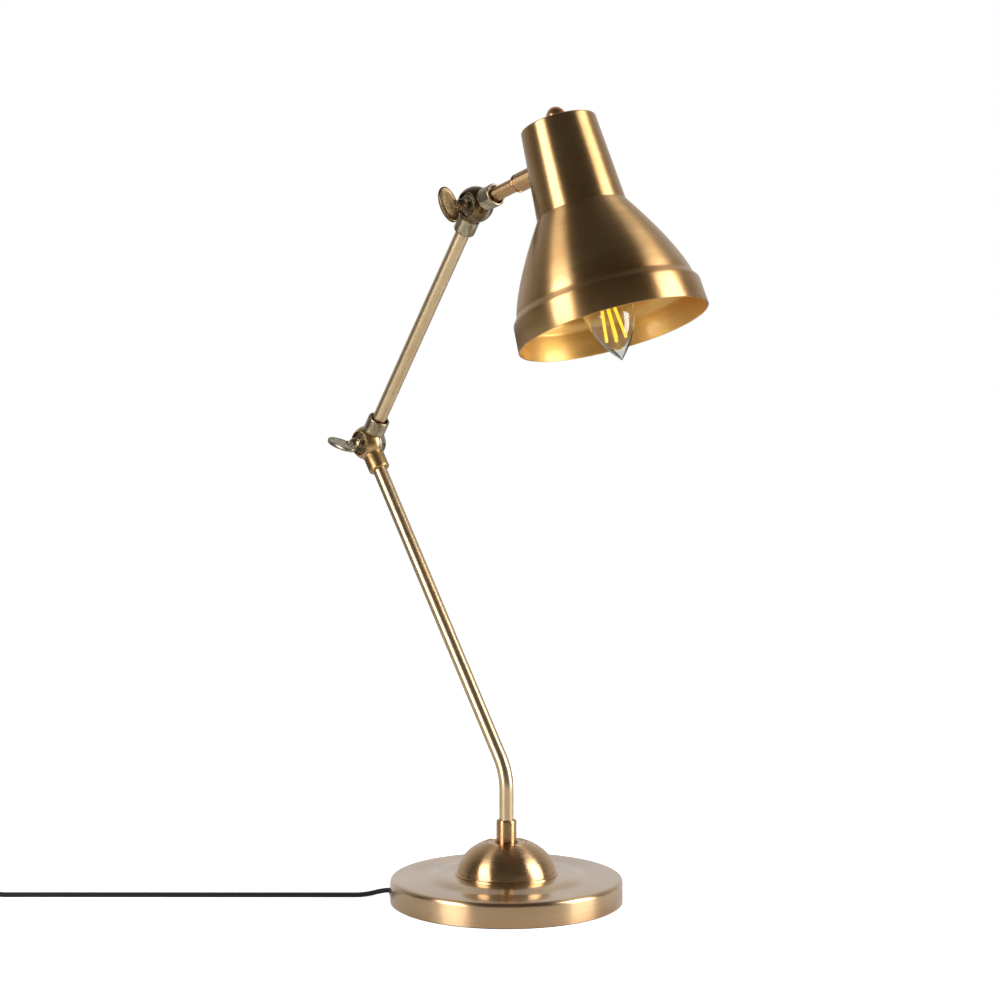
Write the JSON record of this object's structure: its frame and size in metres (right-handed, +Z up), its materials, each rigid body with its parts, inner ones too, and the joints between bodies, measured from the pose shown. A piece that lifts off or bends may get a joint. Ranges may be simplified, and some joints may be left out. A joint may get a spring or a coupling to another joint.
{
  "type": "swing arm desk lamp",
  "caption": "Brass desk lamp with a round weighted base, two tubular arms on clamped ball knuckles and a tilting spun shade round a candle bulb.",
  "frame": {"origin": "centre of the round base's underside, on the table", "axes": "+Z up; the arms lie in the XZ plane with the shade towards +X; both knuckles turn about Y and their wing screws point to -Y"},
  "size_m": [0.5648, 0.4132, 0.5421],
  "materials": {
    "antique_brass": "satin brushed, lacquered",
    "golden_bronze": "cast, golden patina",
    "dark_bronze": "cast, dark patina",
    "aged_nickel": "aged nickel plate",
    "zinc_steel": "zinc plated",
    "grey_iron": "sand cast",
    "felt": "pressed felt",
    "black_rubber": "moulded",
    "black_cord": "smooth extruded sheath",
    "nylon": "moulded",
    "copper_brass": "polished",
    "black_plastic": "moulded",
    "steatite": "fired ceramic",
    "contact_brass": "bright",
    "plug_nickel": "nickel plated",
    "bulb_glass": "clear",
    "filament": "phosphor coated, lit"
  },
  "bodies": {
    "base": {"base_cover": "antique_brass", "base_weight": "grey_iron", "base_felt": "felt", "base_dome": "antique_brass", "pivot_sleeve": "antique_brass", "sleeve_nut": "zinc_steel", "cord_gland": "black_rubber", "cord_clamp": "nylon", "clamp_screws": "zinc_steel", "base_lead": "black_cord", "cord": "black_cord", "cord_mid": "black_cord", "cord_coil": "black_cord", "cord_tail": "black_cord", "cord_tie": "black_rubber", "switch_lower": "black_plastic", "switch_upper": "black_plastic", "switch_contacts": "contact_brass", "switch_screws": "zinc_steel", "plug_body": "black_plastic", "plug_pins": "plug_nickel"},
    "lower_arm": {"swivel_nipple": "zinc_steel", "friction_washer": "zinc_steel", "swivel_nut": "zinc_steel", "stem_collar": "antique_brass", "lower_tube": "antique_brass", "lower_lead": "black_cord", "elbow_front": "golden_bronze", "elbow_spring": "zinc_steel", "elbow_washer": "aged_nickel"},
    "upper_arm": {"elbow_rear": "aged_nickel", "upper_tube": "antique_brass", "upper_lead": "black_cord", "head_front": "dark_bronze", "head_spring": "zinc_steel", "head_washer": "aged_nickel"},
    "elbow_screw": {"elbow_wing_screw": "aged_nickel"},
    "head_screw": {"head_wing_screw": "dark_bronze"},
    "head": {"head_rear": "aged_nickel", "shade_pin": "antique_brass", "shade_collar": "antique_brass", "pin_nut": "zinc_steel", "shade": "antique_brass", "finial_nut": "copper_brass", "holder_nipple": "zinc_steel", "holder_nut": "zinc_steel", "holder_body": "black_plastic", "holder_insert": "steatite", "holder_shell": "contact_brass", "holder_contact": "contact_brass", "shade_lead": "black_cord", "bulb_glass": "bulb_glass", "bulb_cap": "plug_nickel", "bulb_contact": "contact_brass", "bulb_stem": "bulb_glass", "bulb_filaments": "filament"},
    "rocker": {"switch_rocker": "black_plastic"}
  },
  "joints": [
    {"name": "base_swivel", "type": "hinge", "parent": "base", "child": "lower_arm", "pos_m": [0, 0, 0.04], "axis": [0, 0, 1], "range_deg": [-170, 170]},
    {"name": "elbow", "type": "hinge", "parent": "lower_arm", "child": "upper_arm", "pos_m": [-0.14215, 0, 0.30889], "axis": [0, 1, 0], "range_deg": [-70, 30]},
    {"name": "head_tilt", "type": "hinge", "parent": "upper_arm", "child": "head", "pos_m": [-0.03038, 0, 0.47775], "axis": [0, 1, 0], "range_deg": [-60, 50]},
    {"name": "elbow_clamp", "type": "hinge", "parent": "upper_arm", "child": "elbow_screw", "pos_m": [-0.14215, -0.025, 0.30889], "axis": [0, -1, 0], "range_deg": [0, 360]},
    {"name": "head_clamp", "type": "hinge", "parent": "head", "child": "head_screw", "pos_m": [-0.03038, -0.025, 0.47775], "axis": [0, -1, 0], "range_deg": [0, 360]},
    {"name": "switch_tilt", "type": "hinge", "parent": "base", "child": "rocker", "pos_m": [-0.2834, -0.2756, 0.013], "axis": [0.7214, -0.6925, 0], "range_deg": [-12, 0]}
  ]
}
